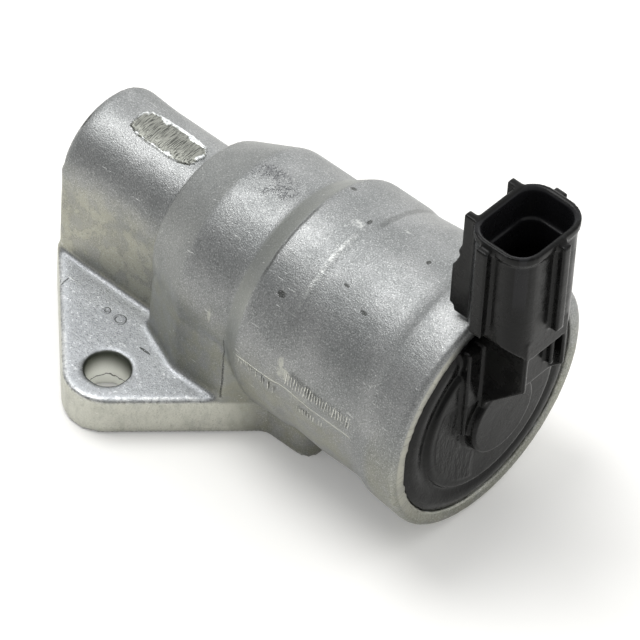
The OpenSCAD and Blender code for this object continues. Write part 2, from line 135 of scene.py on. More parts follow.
world = bpy.data.worlds.new("studio")
bpy.context.scene.world = world
world.use_nodes = True
wt = world.node_tree
wt.nodes.clear()
direction = addNode(wt, "ShaderNodeTexCoord")
across = addNode(wt, "ShaderNodeVectorMath", {"operation": "DOT_PRODUCT", 1: studio["brightFrom"]},
                 {0: direction.outputs["Generated"]})
lift = addNode(wt, "ShaderNodeMapRange",
               {"interpolation_type": "SMOOTHSTEP", "From Min": -0.6, "From Max": 0.9,
                "To Min": studio["dim"], "To Max": studio["bright"]}, {"Value": across.outputs["Value"]})
sky = addNode(wt, "ShaderNodeBackground", {"Color": (0.99, 0.995, 0.995, 1)},
              {"Strength": lift.outputs[0]})
addNode(wt, "ShaderNodeOutputWorld", links={"Surface": sky.outputs[0]})

floorMat, ft, floorShader = newMaterial("studio_floor")
floorShader.inputs["Base Color"].default_value = tone(studio["floor"])
floorShader.inputs["Roughness"].default_value = 0.9
floorShader.inputs["Specular IOR Level"].default_value = 0.1
rays = addNode(ft, "ShaderNodeLightPath")
seen = addNode(ft, "ShaderNodeMath", {"operation": "MAXIMUM"},
               {0: rays.outputs["Is Camera Ray"], 1: rays.outputs["Is Glossy Ray"]})
seenToo = addNode(ft, "ShaderNodeMath", {"operation": "MAXIMUM"},
                  {0: seen.outputs[0], 1: rays.outputs["Is Transmission Ray"]})
boost = addNode(ft, "ShaderNodeMath", {"operation": "MULTIPLY", 1: studio["glow"]},
                {0: seenToo.outputs[0]})
floorShader.inputs["Emission Color"].default_value = (1, 1, 1, 1)
ft.links.new(boost.outputs[0], floorShader.inputs["Emission Strength"])
floorMesh = bpy.data.meshes.new("studioFloor")
reach, level = studio["floorReach"], studio["floorLevel"]
floorMesh.from_pydata([(x * reach, y * reach, level) for x, y in ((-1, -1), (1, -1), (1, 1), (-1, 1))],
                      [], [(0, 1, 2, 3)])
floorMesh.materials.append(floorMat)
floor = bpy.data.objects.new("studioFloor", floorMesh)
bpy.context.scene.collection.objects.link(floor)
print("camera, lamps and floor placed")


# finishes
def sizedNoise(tree, coord, size, detail=3.0, rough=0.55, stretch=None):
    # size is the feature size in mm
    source = coord
    if stretch:
        source = addNode(tree, "ShaderNodeMapping", {"Scale": stretch}, {"Vector": coord}).outputs[0]
    return addNode(tree, "ShaderNodeTexNoise", {"Scale": 1000.0 / size, "Detail": detail, "Roughness": rough},
                   {"Vector": source}).outputs["Fac"]


def spread(tree, source, low, high, toLow=0.0, toHigh=1.0):
    # smooth step from toLow, where the source is low, to toHigh, where it is high
    return addNode(tree, "ShaderNodeMapRange",
                   {"interpolation_type": "SMOOTHSTEP", "From Min": low, "From Max": high,
                    "To Min": toLow, "To Max": toHigh}, {"Value": source}).outputs[0]


def sums(tree, operation, a, b):
    made = addNode(tree, "ShaderNodeMath", {"operation": operation})
    for i, part in enumerate((a, b)):
        if isinstance(part, (int, float)):
            made.inputs[i].default_value = part
        else:
            tree.links.new(part, made.inputs[i])
    return made.outputs[0]


def product(tree, *parts):
    made = parts[0]
    for part in parts[1:]:
        made = sums(tree, "MULTIPLY", made, part)
    return made


def band(tree, source, low, high, fade):
    # 1 between low and high, fading to 0 over the fade, all in mm
    rise = spread(tree, source, (low - fade) * mm, low * mm)
    return sums(tree, "MULTIPLY", rise, spread(tree, source, (high + fade) * mm, high * mm))


def blendTone(tree, factor, low, high):
    made = addNode(tree, "ShaderNodeMix", {"data_type": "RGBA", "blend_type": "MIX"})
    for i, part in ((0, factor), (6, low), (7, high)):
        if isinstance(part, (tuple, float, int)):
            made.inputs[i].default_value = part
        else:
            tree.links.new(part, made.inputs[i])
    return made.outputs[2]


def relief(tree, height, depth, under=None):
    # bumps of a depth in mm, laid over those under them
    made = addNode(tree, "ShaderNodeBump", {"Distance": depth * mm, "Strength": 1.0}, {"Height": height})
    if under:
        tree.links.new(under, made.inputs["Normal"])
    return made.outputs[0]


def offsetFrom(tree, coord, centre):
    return addNode(tree, "ShaderNodeVectorMath", {"operation": "SUBTRACT", 1: tuple(centre)},
                   {0: coord}).outputs[0]


def spotMask(tree, coord, centre, radii):
    # 1 inside an ellipsoid, fading to 0 at its edge; centre as at() gives it, radii in mm
    scale = tuple(1.0 / (r * mm) for r in radii)
    fit = addNode(tree, "ShaderNodeVectorMath", {"operation": "MULTIPLY", 1: scale},
                  {0: offsetFrom(tree, coord, centre)}).outputs[0]
    far = addNode(tree, "ShaderNodeVectorMath", {"operation": "LENGTH"}, {0: fit}).outputs["Value"]
    return spread(tree, far, 1.0, 0.35)


def ringMask(tree, coord, centre, radius, width):
    # a small round pin mark: 1 on the ring, 0 elsewhere; radius and width in mm
    far = addNode(tree, "ShaderNodeVectorMath", {"operation": "LENGTH"},
                  {0: offsetFrom(tree, coord, centre)}).outputs["Value"]
    away = sums(tree, "ABSOLUTE", sums(tree, "SUBTRACT", far, radius * mm), 0)
    return spread(tree, away, width * mm, 0.2 * width * mm)


def fromAxis(tree, axes):
    # height above the valve axis, and distance from it
    tall = sums(tree, "SUBTRACT", axes[2], axisHeight * mm)
    squares = sums(tree, "ADD", product(tree, tall, tall), product(tree, axes[1], axes[1]))
    return tall, sums(tree, "SQRT", squares, 0)


casting = {"colour": "#929393", "dull": "#818383", "warm": "#8C8C80", "cream": "#A9A89B", "pale": "#BCBFC3",
           "edge": "#C1C1B7", "bright": "#D8DAD7", "pit": "#565856", "wearAndHighlight": "#E4E5E2", "dark": "#3E3F3C",
           "flank": "#8B8D89", "earGlint": "#F2F4F5", "smudge": "#55565C", "flash": "#C6C6BA",
           "boreSkin": "#5F625A", "boreFloorLight": "#F4F5EF", "boreTear": "#3F3F38", "fold": "#B4B3A8",
           "notch": "#5B5B53", "rough": 0.43, "blastGrain": 0.22, "fineGrain": 0.13, "edgeGain": 7.5,
           "voxel": 0.51, "softening": 6, "crisp": 0.22, "fillet": 0.38, "padRadius": 10.22,
           "lipOut": 0.7, "lipGrow": 0.25, "rimGrow": 0.12, "endGrow": 0.34}      # lengths in mm


def lay(tree, share, skin, name):
    # one of the casting's tones over the skin
    return blendTone(tree, share, skin, tone(casting[name]))


def castInputs(tree):
    # what the casting's layers share: places, noises and the masks of its regions
    texture = addNode(tree, "ShaderNodeTexCoord").outputs
    coord = texture["Object"]
    axes = addNode(tree, "ShaderNodeSeparateXYZ", links={"Vector": coord}).outputs
    station = sums(tree, "ADD", axes[0], boltStation * mm)
    facing = addNode(tree, "ShaderNodeSeparateXYZ", links={"Vector": texture["Normal"]}).outputs[2]
    upright = spread(tree, sums(tree, "ABSOLUTE", facing, 0), 0.65, 0.35)
    aside = sums(tree, "SUBTRACT", sums(tree, "ABSOLUTE", axes[1], 0), boltSide * mm)
    squares = sums(tree, "ADD", product(tree, aside, aside), product(tree, axes[0], axes[0]))
    hole = sums(tree, "SQRT", squares, 0)
    # part of the flank tone is laid on the cone beside the tower as painted shade
    flank = sums(tree, "MAXIMUM", band(tree, station, 40.9, 43.7, 0.8),
                 sums(tree, "MULTIPLY", band(tree, station, 22.3, 29.8, 0.9), 0.4))
    low = product(tree, spread(tree, axes[2], 27 * mm, 15 * mm), upright,
                  spread(tree, station, 69 * mm, 65 * mm))
    return SimpleNamespace(
        coord=coord, axes=axes, station=station, upright=upright, hole=hole, flank=flank, low=low,
        clear=spread(tree, hole, 3.8 * mm, 4.5 * mm),
        shelf=product(tree, band(tree, axes[2], 6.9, 7.4, 0.6), spread(tree, facing, 0.6, 0.9)),
        blasted=product(tree, spread(tree, flank, 0.0, 1.0, 1.0, 0.4), spread(tree, low, 0.0, 1.0, 1.0, 0.6)),
        blast=sizedNoise(tree, coord, casting["blastGrain"], 2.0, 0.6),
        fine=sizedNoise(tree, coord, casting["fineGrain"], 1.0, 0.5),
        cloud=sizedNoise(tree, coord, 9.0, 5.0, 0.6),
        patch=sizedNoise(tree, coord, 3.2, 4.0, 0.62),
        streak=sizedNoise(tree, coord, 1.4, 4.0, 0.65, (1.0, 1.0, 0.45)),
        speck=sizedNoise(tree, coord, 0.6, 5.0, 0.75))


def shaken(tree, on, reach):
    # the station, made ragged by up to half the reach in mm
    drift = sums(tree, "MULTIPLY", sums(tree, "SUBTRACT", on.patch, 0.5), reach * mm)
    return sums(tree, "ADD", on.station, drift)


def skinTone(tree, on):
    # cloudy grey; a warm grey on the flanks, which on the cone beside the tower is painted shade; warmer low
    # down as a painted warm reflection of the floor
    skin = blendTone(tree, spread(tree, on.cloud, 0.3, 0.7), tone(casting["dull"]), tone(casting["colour"]))
    skin = lay(tree, product(tree, on.flank, spread(tree, on.cloud, 0.3, 0.6, 0.55, 1.0)), skin, "flank")
    # painted warm reflection of the floor on the lower side faces
    floorWarmth = sums(tree, "MULTIPLY", on.low, spread(tree, on.patch, 0.35, 0.62, 0.2, 0.9))
    skin = lay(tree, floorWarmth, skin, "warm")
    # pale cloudy bloom on the tower's wall, with darker stain outlines
    wall = product(tree, band(tree, on.station, -1, 20.6, 1.8), spread(tree, on.axes[2], 26 * mm, 18 * mm),
                   on.upright)
    bloom = sums(tree, "MULTIPLY", wall, spread(tree, on.patch, 0.36, 0.6, 0.35, 0.8))
    skin = lay(tree, bloom, skin, "cream")
    outline = spread(tree, sums(tree, "ABSOLUTE", sums(tree, "SUBTRACT", on.patch, 0.47), 0), 0.02, 0.0)
    skin = lay(tree, product(tree, wall, outline, 0.3), skin, "pit")
    # the crimped rim is warmer on its lower half
    rim = product(tree, band(tree, on.station, 72.5, 80, 2.0), spread(tree, on.axes[2], 30 * mm, 14 * mm),
                  spread(tree, on.patch, 0.3, 0.6, 0.4, 0.9))
    return lay(tree, rim, skin, "warm")


def earTone(tree, on, skin):
    # top faces painted paler, which is painted light on the faces turned up, and bright drawn side faces
    skin = lay(tree, sums(tree, "MULTIPLY", on.shelf, 0.75), skin, "pale")
    side = product(tree, spread(tree, on.axes[2], 7.0 * mm, 6.2 * mm), on.upright,
                   spread(tree, on.station, 46 * mm, 40 * mm))
    side = product(tree, side, on.clear, spread(tree, on.streak, 0.3, 0.6, 0.6, 1.0))
    return lay(tree, side, skin, "edge")


def blastedTone(tree, on, skin):
    # pale flecks, which are painted glints of the blasted grain, and pits left by the blasting, fewer on the
    # flanks
    skin = lay(tree, product(tree, spread(tree, on.blast, 0.52, 0.7), on.blasted, 0.36), skin, "bright")
    skin = lay(tree, product(tree, spread(tree, on.blast, 0.46, 0.3), on.blasted, 0.5), skin, "pit")
    # the ears are speckled more coarsely, with bright spots that are painted glints
    skin = lay(tree, product(tree, on.shelf, spread(tree, on.speck, 0.46, 0.34), 0.32), skin, "pit")
    return lay(tree, product(tree, on.shelf, spread(tree, on.speck, 0.57, 0.66), 0.7), skin, "earGlint")


def wearAndHighlightMask(tree, on):
    # edges brightened from the mesh's own convexity, partly rubbed wear and partly painted highlight, and a
    # painted highlight along the crest on the housing
    convex = addNode(tree, "ShaderNodeAttribute", {"attribute_name": "edgeBend"}).outputs["Fac"]
    wearAndHighlight = product(tree, spread(tree, convex, 0.5, 1.0), spread(tree, on.patch, 0.35, 0.6, 0.3, 1.0), on.clear,
                     spread(tree, on.speck, 0.42, 0.54, 0.1, 1.0),
                     spread(tree, on.station, 73 * mm, 75 * mm, 1.0, 0.35),
                     spread(tree, on.station, 1.0 * mm, 3.0 * mm, 0.35, 1.0))
    # painted highlight along the crest of the housing, and a bright knob at its upper end that is painted
    # highlight too
    crest = product(tree, band(tree, shaken(tree, on, 1.2), 51.9, 52.0, 0.6),
                    band(tree, on.axes[1], -12.4, -4.4, 3.4), spread(tree, on.axes[2], 30 * mm, 33 * mm), 0.7)
    knob = spotMask(tree, on.coord, at(51.0, -0.4, 19.1), (1.9, 1.0, 1.0))
    crest = product(tree, sums(tree, "MAXIMUM", crest, sums(tree, "MULTIPLY", knob, 0.75)),
                    spread(tree, on.speck, 0.44, 0.58, 0.1, 1.0))
    return sums(tree, "MAXIMUM", wearAndHighlight, crest)


# dark specks on the casting: place, and radii in mm
castMarks = [(at(45.1, 5.0, 18.7), (0.8, 0.6, 0.6)), (at(48.6, -14.3, 12.9), (1.0, 0.7, 0.8)),
             (at(61.6, -11.0, 15.9), (0.8, 0.4, 0.5)), (at(56.6, -9.2, 16.8), (0.7, 0.3, 0.4)),
             (at(51.8, 1.0, 19.2), (0.4, 0.8, 0.5)), (at(33.6, -16.8, -4.5), (0.4, 0.4, 0.9)),
             (at(25.2, -17.4, -14.0), (1.5, 0.3, 0.4)), (at(6.5, -16.0, -14.0), (0.25, 2.4, 0.4)),
             (at(0.7, -4.6, 8.8), (0.35, 2.4, 1.6)), (at(63.6, 0.7, 19.4), (0.5, 0.6, 0.4))]


def darkMask(tree, on):
    # the specks, a cold-flow line where the flank meets the housing, painted shade in the crease on the side,
    # and a shaded valley
    wander = shaken(tree, on, 0.7)
    flow = product(tree, band(tree, wander, 44.3, 44.5, 0.25), band(tree, on.axes[1], -12.5, -3.0, 2.5),
                   spread(tree, on.axes[2], 30 * mm, 33 * mm), spread(tree, on.blast, 0.36, 0.5))
    dark = None
    for centre, radii in castMarks:
        one = spotMask(tree, on.coord, centre, radii)
        dark = one if dark is None else sums(tree, "MAXIMUM", dark, one)
    dark = sums(tree, "MULTIPLY", spread(tree, dark, 0.1, 0.6), spread(tree, on.fine, 0.3, 0.5))
    dark = sums(tree, "MAXIMUM", sums(tree, "MULTIPLY", dark, 0.85), sums(tree, "MULTIPLY", flow, 0.7))
    # painted shade along the crease at station 40 on the side
    creaseShade = product(tree, band(tree, wander, 40.0, 40.15, 0.16),
                    spread(tree, on.axes[1], -16.2 * mm, -16.5 * mm),
                    band(tree, on.axes[2], 8.0, 19.5, 0.6), spread(tree, on.fine, 0.35, 0.5))
    valley = product(tree, band(tree, wander, 53.2, 53.6, 0.5), spread(tree, on.axes[1], 0.5 * mm, 2.5 * mm),
                     spread(tree, on.axes[2], 24 * mm, 27 * mm), 0.35)
    return sums(tree, "MAXIMUM", dark, sums(tree, "MAXIMUM", sums(tree, "MULTIPLY", creaseShade, 0.85), valley))


def scratchMask(tree, on):
    # light scratches that all lean one way
    turned = addNode(tree, "ShaderNodeMapping", {"Rotation": (0.3, 0.2, 0.7), "Scale": (0.07, 1.0, 1.0)},
                     {"Vector": on.coord}).outputs[0]
    scratch = spread(tree, sizedNoise(tree, turned, 0.32, 1.0, 0.4), 0.7, 0.76)
    return sums(tree, "MULTIPLY", scratch, spread(tree, on.patch, 0.5, 0.56))


def grimeMask(tree, on):
    # hair-fine smudge over the top of the chamber
    smudge = spotMask(tree, on.coord, at(34.4, -0.6, 16.7), (6.2, 3.6, 3.0))
    hair = sizedNoise(tree, on.coord, 1.1, 5.0, 0.78, (1.0, 0.6, 1.0))
    hair = spread(tree, sums(tree, "ABSOLUTE", sums(tree, "SUBTRACT", hair, 0.5), 0), 0.026, 0.006)
    return product(tree, spread(tree, smudge, 0.0, 0.7), hair, spread(tree, on.patch, 0.4, 0.56), 0.85)


def partingMask(tree, on):
    # parting line along the side of the housing, falling slightly towards the rim
    seam = sums(tree, "ADD", on.axes[2], sums(tree, "MULTIPLY", on.station, 0.0233))
    return product(tree, band(tree, seam, axisHeight + 1.72, axisHeight + 1.82, 0.13),
                   spread(tree, on.axes[1], -12 * mm, -14 * mm), band(tree, on.station, 45.0, 67.0, 1.0))


def flashTone(tree, on, skin, line):
    # the pale parting line, a tapered smear of flash above it and a chip at the chamber's side
    smear = sums(tree, "MAXIMUM", spotMask(tree, on.coord, at(52.7, -18.9, 4.3), (0.75, 1.5, 2.4)),
                 spotMask(tree, on.coord, at(53.6, -18.9, 2.9), (1.8, 1.5, 1.4)))
    smear = product(tree, spread(tree, smear, 0.05, 0.75), spread(tree, on.streak, 0.36, 0.56, 0.25, 1.0))
    chip = spotMask(tree, on.coord, at(36.8, -16.6, 1.6), (0.4, 0.5, 1.9))
    flash = sums(tree, "MAXIMUM", sums(tree, "MULTIPLY", line, 0.7),
                 product(tree, sums(tree, "MAXIMUM", smear, chip), spread(tree, on.speck, 0.38, 0.5), 0.5))
    return lay(tree, product(tree, flash, spread(tree, on.patch, 0.3, 0.5, 0.4, 1.0)), skin, "flash")


def boreTone(tree, on, skin):
    # inside the bolt holes: olive skin, turning near white towards the mounting face as painted light from
    # the floor, crossed by a torn line
    floorLitBore = blendTone(tree, spread(tree, on.axes[2], 6.4 * mm, 2.6 * mm),
                     tone(casting["boreSkin"]), tone(casting["boreFloorLight"]))
    slow = sizedNoise(tree, on.coord, 2.4, 3.0, 0.6)
    tear = band(tree, sums(tree, "SUBTRACT", on.axes[2], sums(tree, "MULTIPLY", slow, 3.0 * mm)),
                0.5, 0.62, 0.12)
    torn = lay(tree, sums(tree, "MULTIPLY", tear, 0.8), floorLitBore, "boreTear")
    return blendTone(tree, spread(tree, on.hole, 3.9 * mm, 3.6 * mm), skin, torn)


def foldTone(tree, on, skin):
    # the fold of the lip is scraped bright where the tool turned it over, but the paler tone is laid only on
    # its upper -Y side, where light falls on the rounding, so it is partly painted light; short radial marks
    # cross it
    tall, radius = fromAxis(tree, on.axes)
    turn = addNode(tree, "ShaderNodeMath", {"operation": "ARCTAN2"}, {0: on.axes[1], 1: tall}).outputs[0]
    around = addNode(tree, "ShaderNodeCombineXYZ", links={"X": sums(tree, "MULTIPLY", turn, 19 * mm)})
    fold = product(tree, spread(tree, on.station, 76.5 * mm, 76.9 * mm), band(tree, radius, 18.2, 19.9, 0.5),
                   spread(tree, on.axes[1], -6 * mm, -11 * mm),
                   spread(tree, on.axes[2], 8 * mm, 18 * mm, 0.25, 1.0))
    skin = lay(tree, product(tree, fold, spread(tree, on.patch, 0.3, 0.6, 0.5, 0.9)), skin, "fold")
    cuts = sizedNoise(tree, around.outputs[0], 0.35, 2.0, 0.5)
    return lay(tree, product(tree, fold, spread(tree, cuts, 0.56, 0.66), 0.6), skin, "notch")


pinMarks = ((at(18.0, -15.35, -14.0), 0.85), (at(15.3, -15.3, -14.0), 0.45))    # place, and radius in mm


def castMaterial():
    # die-cast aluminium, blasted: a cloudy grey grain that turns bright on its edges and crest, partly rubbed
    # wear and partly painted highlight
    made, tree, shader = newMaterial("cast_aluminium")
    on = castInputs(tree)
    wearAndHighlight = wearAndHighlightMask(tree, on)
    dark = darkMask(tree, on)
    scratch = scratchMask(tree, on)
    grime = grimeMask(tree, on)
    line = partingMask(tree, on)
    skin = blastedTone(tree, on, earTone(tree, on, skinTone(tree, on)))
    # painted highlights on convex edges and the crest, partly rubbed wear
    skin = lay(tree, sums(tree, "MULTIPLY", wearAndHighlight, 0.6), skin, "wearAndHighlight")
    skin = lay(tree, dark, skin, "dark")
    skin = lay(tree, sums(tree, "MULTIPLY", scratch, 0.4), skin, "wearAndHighlight")
    skin = lay(tree, grime, skin, "smudge")
    skin = flashTone(tree, on, skin, line)
    skin = foldTone(tree, on, boreTone(tree, on, skin))
    tree.links.new(skin, shader.inputs["Base Color"])
    shader.inputs["Metallic"].default_value = 1.0
    shine = spread(tree, on.cloud, 0.3, 0.7, casting["rough"] + 0.05, casting["rough"] - 0.04)
    shine = sums(tree, "SUBTRACT", shine, sums(tree, "MULTIPLY", wearAndHighlight, 0.12))
    shine = sums(tree, "ADD", shine, sums(tree, "MULTIPLY", on.shelf, 0.1))
    tree.links.new(shine, shader.inputs["Roughness"])
    under = relief(tree, on.cloud, 0.2)
    under = relief(tree, on.patch, 0.06, under)
    under = relief(tree, sums(tree, "MULTIPLY", on.blast, on.blasted), 0.055, under)
    under = relief(tree, on.fine, 0.02, under)
    under = relief(tree, line, 0.3, under)
    under = relief(tree, sums(tree, "SUBTRACT", scratch, sums(tree, "MAXIMUM", dark, grime)), 0.04, under)
    for centre, size in pinMarks:
        under = relief(tree, ringMask(tree, on.coord, centre, size, 0.26), 0.22, under)
    tree.links.new(under, shader.inputs["Normal"])
    return made


def turnedMaterial(name, colour, roughness, darker, grooves=0.25):
    # lathe-turned metal: fine rings round the valve axis
    made, tree, shader = newMaterial(name)
    coord = addNode(tree, "ShaderNodeTexCoord").outputs["Object"]
    axes = addNode(tree, "ShaderNodeSeparateXYZ", links={"Vector": coord}).outputs
    radius = fromAxis(tree, axes)[1]
    along = addNode(tree, "ShaderNodeCombineXYZ", links={"X": axes[0], "Y": radius}).outputs[0]
    rings = sizedNoise(tree, along, grooves, 2.0, 0.5)
    cloud = sizedNoise(tree, coord, 2.5, 4.0, 0.6)
    skin = blendTone(tree, spread(tree, cloud, 0.3, 0.7), tone(darker), tone(colour))
    skin = blendTone(tree, sums(tree, "MULTIPLY", spread(tree, rings, 0.45, 0.7), 0.25), skin, tone(darker))
    tree.links.new(skin, shader.inputs["Base Color"])
    shader.inputs["Metallic"].default_value = 1.0
    shine = spread(tree, cloud, 0.25, 0.75, roughness - 0.05, roughness + 0.08)
    tree.links.new(shine, shader.inputs["Roughness"])
    tree.links.new(relief(tree, rings, 0.012), shader.inputs["Normal"])
    return made


def mouldedMaterial(name, colour, pale, roughness, grain=0.25, depth=0.012):
    # moulded plastic or rubber with a fine grain
    made, tree, shader = newMaterial(name)
    coord = addNode(tree, "ShaderNodeTexCoord").outputs["Object"]
    grainy = sizedNoise(tree, coord, grain, 2.0, 0.5)
    cloud = sizedNoise(tree, coord, 4.0, 4.0, 0.6)
    skin = blendTone(tree, spread(tree, cloud, 0.35, 0.7), tone(colour), tone(pale))
    tree.links.new(skin, shader.inputs["Base Color"])
    shine = spread(tree, cloud, 0.25, 0.75, roughness - 0.05, roughness + 0.07)
    tree.links.new(shine, shader.inputs["Roughness"])
    under = relief(tree, cloud, 0.03)
    tree.links.new(relief(tree, grainy, depth, under), shader.inputs["Normal"])
    return made


capLook = {"colour": "#070707", "pale": "#0C0C0B", "worn": "#3A3B3C", "inner": "#1D1D1F", "rough": 0.25,
           "gloss": 0.16, "grain": 0.3, "edgeGain": 7.0, "voxel": 0.25, "softening": 2, "soft": 0.8,
           "ringGrow": 0.4, "socketAt": 57.8}      # lengths in mm, the socket from the bolt line


def capMaterial():
    # glass-filled nylon, glossy on the ribs, with a rougher crescent on the disc
    made, tree, shader = newMaterial("black_nylon")
    coord = addNode(tree, "ShaderNodeTexCoord").outputs["Object"]
    axes = addNode(tree, "ShaderNodeSeparateXYZ", links={"Vector": coord}).outputs
    grainy = sizedNoise(tree, coord, capLook["grain"], 2.0, 0.55)
    cloud = sizedNoise(tree, coord, 5.0, 5.0, 0.6)
    scuff = sizedNoise(tree, coord, 1.6, 5.0, 0.7, (1.0, 1.0, 0.5))
    skin = blendTone(tree, spread(tree, cloud, 0.3, 0.7), tone(capLook["colour"]), tone(capLook["pale"]))
    convex = addNode(tree, "ShaderNodeAttribute", {"attribute_name": "edgeBend"}).outputs["Fac"]
    worn = sums(tree, "MULTIPLY", spread(tree, convex, 0.35, 1.0), spread(tree, scuff, 0.45, 0.65))
    skin = blendTone(tree, sums(tree, "MULTIPLY", worn, 0.5), skin, tone(capLook["worn"]))
    # the inside of the socket is painted paler: painted light in its hollow
    middle = sums(tree, "ABSOLUTE", sums(tree, "SUBTRACT", axes[0], capLook["socketAt"] * mm), 0)
    inner = product(tree, spread(tree, middle, 5.1 * mm, 4.9 * mm), spread(tree, axes[2], 50 * mm, 54 * mm),
                    spread(tree, sums(tree, "ABSOLUTE", axes[1], 0), 6.8 * mm, 6.6 * mm))
    skin = blendTone(tree, inner, skin, tone(capLook["inner"]))
    tree.links.new(skin, shader.inputs["Base Color"])
    shine = spread(tree, cloud, 0.3, 0.7, capLook["rough"] - 0.05, capLook["rough"] + 0.06)
    shine = sums(tree, "ADD", shine, sums(tree, "MULTIPLY", spread(tree, scuff, 0.5, 0.7), 0.1))
    tree.links.new(shine, shader.inputs["Roughness"])
    shader.inputs["Specular IOR Level"].default_value = capLook["gloss"]
    # the crescent left of the boss is textured
    tall, radius = fromAxis(tree, axes)
    zone = product(tree, spread(tree, radius, 7.2 * mm, 7.8 * mm),
                   spread(tree, radius, 12.9 * mm, 12.2 * mm),
                   spread(tree, axes[1], -3.2 * mm, -4.2 * mm), spread(tree, tall, 6.6 * mm, 5.8 * mm),
                   spread(tree, axes[0], 54.0 * mm, 54.2 * mm))
    spark = sizedNoise(tree, coord, 0.8, 3.0, 0.6, (1.0, 1.0, 0.4))
    under = relief(tree, cloud, 0.12)
    under = relief(tree, grainy, 0.012, under)
    under = relief(tree, sums(tree, "MULTIPLY", zone, spark), 0.16, under)
    tree.links.new(under, shader.inputs["Normal"])
    return made


finish = {
    "cast": castMaterial(),
    "machined": turnedMaterial("machined_aluminium", "#B4B5B4", 0.3, "#979896", 0.3),
    "cap": capMaterial(),
    "brass": turnedMaterial("seat_brass", "#C6A24E", 0.28, "#A37F35"),
    "bronze": turnedMaterial("sintered_bronze", "#A67B4B", 0.5, "#7C5936", 0.6),
    "plate": turnedMaterial("zinc_plated_steel", "#B3B5B4", 0.34, "#8E9190"),
    "armature": turnedMaterial("turned_steel", "#9B9D9E", 0.3, "#757879"),
    "shaft": turnedMaterial("ground_steel", "#C2C4C6", 0.17, "#A3A6A8", 0.12),
    "spring": turnedMaterial("spring_steel", "#A9ABAD", 0.26, "#7F8183", 0.1),
    "head": turnedMaterial("turned_aluminium", "#C4C5C5", 0.3, "#A2A3A3"),
    "rubber": mouldedMaterial("black_rubber", "#17181A", "#232426", 0.62, 0.15, 0.006),
    "bobbin": mouldedMaterial("natural_nylon", "#CFC9B4", "#DDD8C6", 0.42),
    "wire": turnedMaterial("enamelled_copper", "#A2512A", 0.24, "#7C3417", 0.8),
    "blade": turnedMaterial("tinned_brass", "#BDB59A", 0.27, "#97907A", 0.3),
    "tube": turnedMaterial("drawn_brass", "#BE9C55", 0.24, "#9A7B3E"),
}
print("finishes made:", len(finish))

dressing = {
    "seat_ring": "brass", "front_bush": "bronze", "rear_bush": "bronze", "front_pole_plate": "plate",
    "rear_pole_plate": "plate", "flux_sleeve": "plate", "fixed_core": "armature", "armature": "armature",
    "adjust_screw": "spring", "plunger_shaft": "shaft", "shaft_clip": "spring", "valve_head": "head",
    "spring_seat": "plate", "head_seal": "rubber", "shaft_seal": "rubber", "cap_seal": "rubber",
    "bobbin": "bobbin", "guide_tube": "tube", "left_terminal": "blade", "right_terminal": "blade",
}
for name, kind in dressing.items():
    for slotHolder in nodes[name].material_slots:
        slotHolder.material = finish[kind]


# casting and end cap, re-skinned with soft edges
def edgePairs(mesh):
    pairs = np.empty(len(mesh.edges) * 2, dtype=np.int64)
    mesh.edges.foreach_get("vertices", pairs)
    return pairs.reshape(-1, 2)


def neighbourMean(values, pairs, count):
    total = np.zeros_like(values)
    for k in range(values.shape[1]):
        total[:, k] = (np.bincount(pairs[:, 0], values[pairs[:, 1], k], len(values))
                       + np.bincount(pairs[:, 1], values[pairs[:, 0], k], len(values)))
    return total / count[:, None]


def vectors(items, label):
    # one row of x, y and z for each vertex or face
    values = np.empty(len(items) * 3)
    items.foreach_get(label, values)
    return values.reshape(-1, 3)


def fromAxisLine(points):
    # station along the valve axis and distance from it, both in mm
    return points[:, 0] / mm + boltStation, np.hypot(points[:, 1], points[:, 2] - axisHeight * mm) / mm


def mergedMesh(node, name):
    # copy of the CAD solid's mesh with its doubles merged
    grid = bmesh.new()
    grid.from_mesh(nodes[node].data)
    bmesh.ops.remove_doubles(grid, verts=grid.verts, dist=2e-6)
    made = bpy.data.meshes.new(name)
    grid.to_mesh(made)
    grid.free()
    return made


def reskin(node, name, voxel):
    # the CAD solid, remeshed into even faces; voxel in mm
    work = bpy.data.objects.new(name + "Work", mergedMesh(node, name + "Raw"))
    bpy.context.scene.collection.objects.link(work)
    shell = work.modifiers.new("shell", "REMESH")
    shell.mode = "VOXEL"
    shell.voxel_size = voxel * mm
    depsgraph = bpy.context.evaluated_depsgraph_get()
    skin = bpy.data.meshes.new_from_object(work.evaluated_get(depsgraph))
    skin.name = name
    bpy.data.objects.remove(work)
    return skin


def soften(mesh, weights, rounds):
    # rounds the edges off by the weights, and returns the points and how sharply each still sticks out
    points = vectors(mesh.vertices, "co")
    pairs = edgePairs(mesh)
    count = np.bincount(pairs.ravel(), minlength=len(points)).astype(float)
    share = weights(points)[:, None]
    for i in range(rounds):
        points += 0.5 * share * (neighbourMean(points, pairs, count) - points)
    mesh.vertices.foreach_set("co", points.ravel())
    mesh.update()
    bend = ((points - neighbourMean(points, pairs, count)) * vectors(mesh.vertices, "normal")).sum(1)
    step = np.linalg.norm(points[pairs[:, 0]] - points[pairs[:, 1]], axis=1).mean()
    bend = (bend / step)[:, None]
    for i in range(2):
        bend = 0.5 * bend + 0.5 * neighbourMean(bend, pairs, count)
    return points, bend[:, 0]


